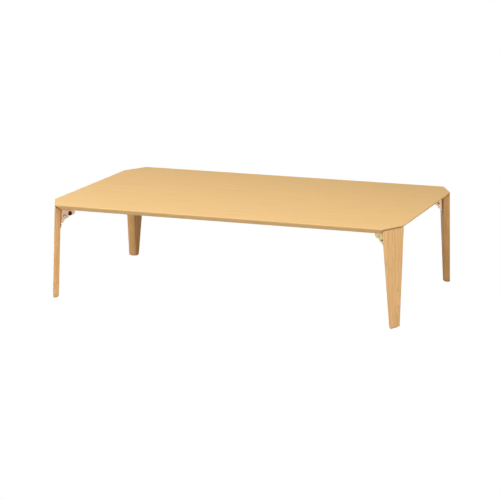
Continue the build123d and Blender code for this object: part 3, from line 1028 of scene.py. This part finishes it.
def screwRings(values, turn):
    # the head's height over (r, a) is headHeight - fall * (r / headRadius)^2 less a cross, whose
    # depth falls away with the distance off and along its arms; below come rim, shank and point
    angle = np.linspace(0, 2 * pi, values["sides"], endpoint=False)
    head, top, rim = values["headRadius"], values["headHeight"], values["rimRound"]
    radius = np.concatenate([np.linspace(*values["crossSpan"], values["crossRings"]),
                             np.linspace(values["outerStart"], head - rim, values["outerRings"])])
    r, a = np.meshgrid(radius, angle, indexing="ij")
    x, y = r * np.cos(a), r * np.sin(a)
    off = np.minimum(np.abs(x), np.abs(y))
    out = np.maximum(np.abs(x), np.abs(y))
    wallRun, endRun = values["recessSlope"]
    depth = (np.clip((values["recessWidth"] - off) / wallRun, 0, 1)
             * np.clip((values["recessReach"] - out) / endRun, 0, 1))
    height = top - values["headFall"] * (r / head) ** 2 - values["recessDepth"] * depth
    dome = np.stack([x, y, height], axis=-1)

    pointLength, pointRadius = values["point"]
    edge = arcProfile((head - rim, top - values["rimDrop"]), rim, *values["rimArc"])
    side = np.concatenate([edge, [(head, values["foot"]), (head - values["foot"], 0),
                                  (values["shank"], 0),
                                  (values["shank"], pointLength - values["length"]),
                                  (pointRadius, -values["length"])]])
    around = np.stack([np.cos(angle), np.sin(angle), 0 * angle], axis=-1)
    below = side[:, 0, None, None] * around + side[:, 1, None, None] * np.array([0, 0, 1])
    rings = np.concatenate([dome, below])
    c, s = np.cos(turn), np.sin(turn)
    return mm * rings @ np.array([(c, s, 0), (-s, c, 0), (0, 0, 1)])


def placeScrews(places, values, seed):
    # places: (origin, direction out of the head, side); each cross stands at its own angle
    turns = np.random.default_rng(seed).uniform(0, pi / 2, len(places))
    return np.array([origin + screwRings(values, turn) @ np.stack([side, np.cross(out, side), out])
                     for (origin, out, side), turn in zip(places, turns)])


def makeScrews(values):
    # three in each table plate, all one piece, and three in each leg plate, a piece for each leg
    places = [(benchPoint(corner, x, y, values["tableSeat"]), -corner["up"], corner["inward"])
              for corner in corners.values() for x, y in values["tablePlaces"]]
    rings = placeScrews(places, values, values["tableSeed"])
    screws = stackRings("tableScrews", rings, values["sharpAngle"])
    dress(screws, screwSteel, "top", "table_screws")
    for number, (name, corner) in enumerate(corners.items()):
        face, along = leanFrame(corner, legValues["lean"])
        places = [(corner["pivot"] + mm * (values["legSeat"] * face + y * corner["across"]
                                           + z * along), face, corner["across"])
                  for y, z in values["legPlaces"]]
        rings = placeScrews(places, values, values["legSeed"] + number)
        screws = stackRings(name + "_legScrews", rings, values["sharpAngle"])
        dress(screws, screwSteel, corner["leg"], name + "_leg_screws")


makeScrews(screwValues)
print("screws made")


stageValues = {
    "floorSize": 40,
    "floorColour": (0.70, 0.69, 0.68),  # what the floor throws back on the table
    "floorRoughness": 0.9,
    "sky": 0.05,
    "middle": (0, 0, 0.25),  # what the lamps stand round and face
    "lampDistance": 3.4,
    "lampSize": 1.6,
    "lamps": {  # degrees round from +X and up, and watts
        "keyLeft": (240, 42, 57),
        "keyRight": (330, 42, 46),
        "overhead": (240, 66, 50),
        "overheadBack": (130, 60, 18),
        "lowFront": (322, 18, 20),
        "lowBack": (150, 18, 24),
    },
}


def softLamp(name, bearing, height, watts, values):
    # a square lamp at middle + distance * (cos h cos b, cos h sin b, sin h), facing the middle
    light = bpy.data.lights.new(name, "AREA")
    light.size = values["lampSize"]
    light.energy = watts
    b, h = radians(bearing), radians(height)
    way = Vector((np.cos(h) * np.cos(b), np.cos(h) * np.sin(b), np.sin(h)))
    lamp = bpy.data.objects.new(name, light)
    lamp.location = Vector(values["middle"]) + values["lampDistance"] * way
    lamp.rotation_euler = way.to_track_quat("Z", "Y").to_euler()
    bpy.context.scene.collection.objects.link(lamp)


def makeFloor(values):
    # a plain square that lights the table as pale floor does, and is a white sweep to the eye
    size = values["floorSize"] / 2
    mesh = bpy.data.meshes.new("floor")
    square = [(-size, -size, 0), (size, -size, 0), (size, size, 0), (-size, size, 0)]
    mesh.from_pydata(square, [], [(0, 1, 2, 3)])
    floor = bpy.data.objects.new("floor", mesh)
    bpy.context.scene.collection.objects.link(floor)
    material, tree, shader = newMaterial("paleFloor")
    shader.inputs["Base Color"].default_value = (*values["floorColour"], 1)
    shader.inputs["Roughness"].default_value = values["floorRoughness"]
    seen = addNode(tree, "ShaderNodeLightPath").outputs["Is Camera Ray"]
    glow = addNode(tree, "ShaderNodeEmission", {"Strength": 1.0})
    mix = addNode(tree, "ShaderNodeMixShader", {0: seen, 1: shader.outputs[0], 2: glow.outputs[0]})
    output = next(node for node in tree.nodes if node.type == "OUTPUT_MATERIAL")
    tree.links.new(mix.outputs[0], output.inputs["Surface"])
    mesh.materials.append(material)


def makeWorld(values):
    # white to the eye, a faint even sky to the table
    world = bpy.data.worlds.new("studio")
    world.use_nodes = True
    tree = world.node_tree
    background = tree.nodes["Background"]
    background.inputs["Color"].default_value = (1, 1, 1, 1)
    seen = addNode(tree, "ShaderNodeLightPath").outputs["Is Camera Ray"]
    tree.links.new(rangeNode(tree, seen, 0.0, 1.0, values["sky"], 1.0),
                   background.inputs["Strength"])
    bpy.context.scene.world = world


makeFloor(stageValues)
makeWorld(stageValues)
for name, (bearing, height, watts) in stageValues["lamps"].items():
    softLamp(name, bearing, height, watts, stageValues)
bpy.context.scene.view_settings.view_transform = "Standard"
print("stage made")
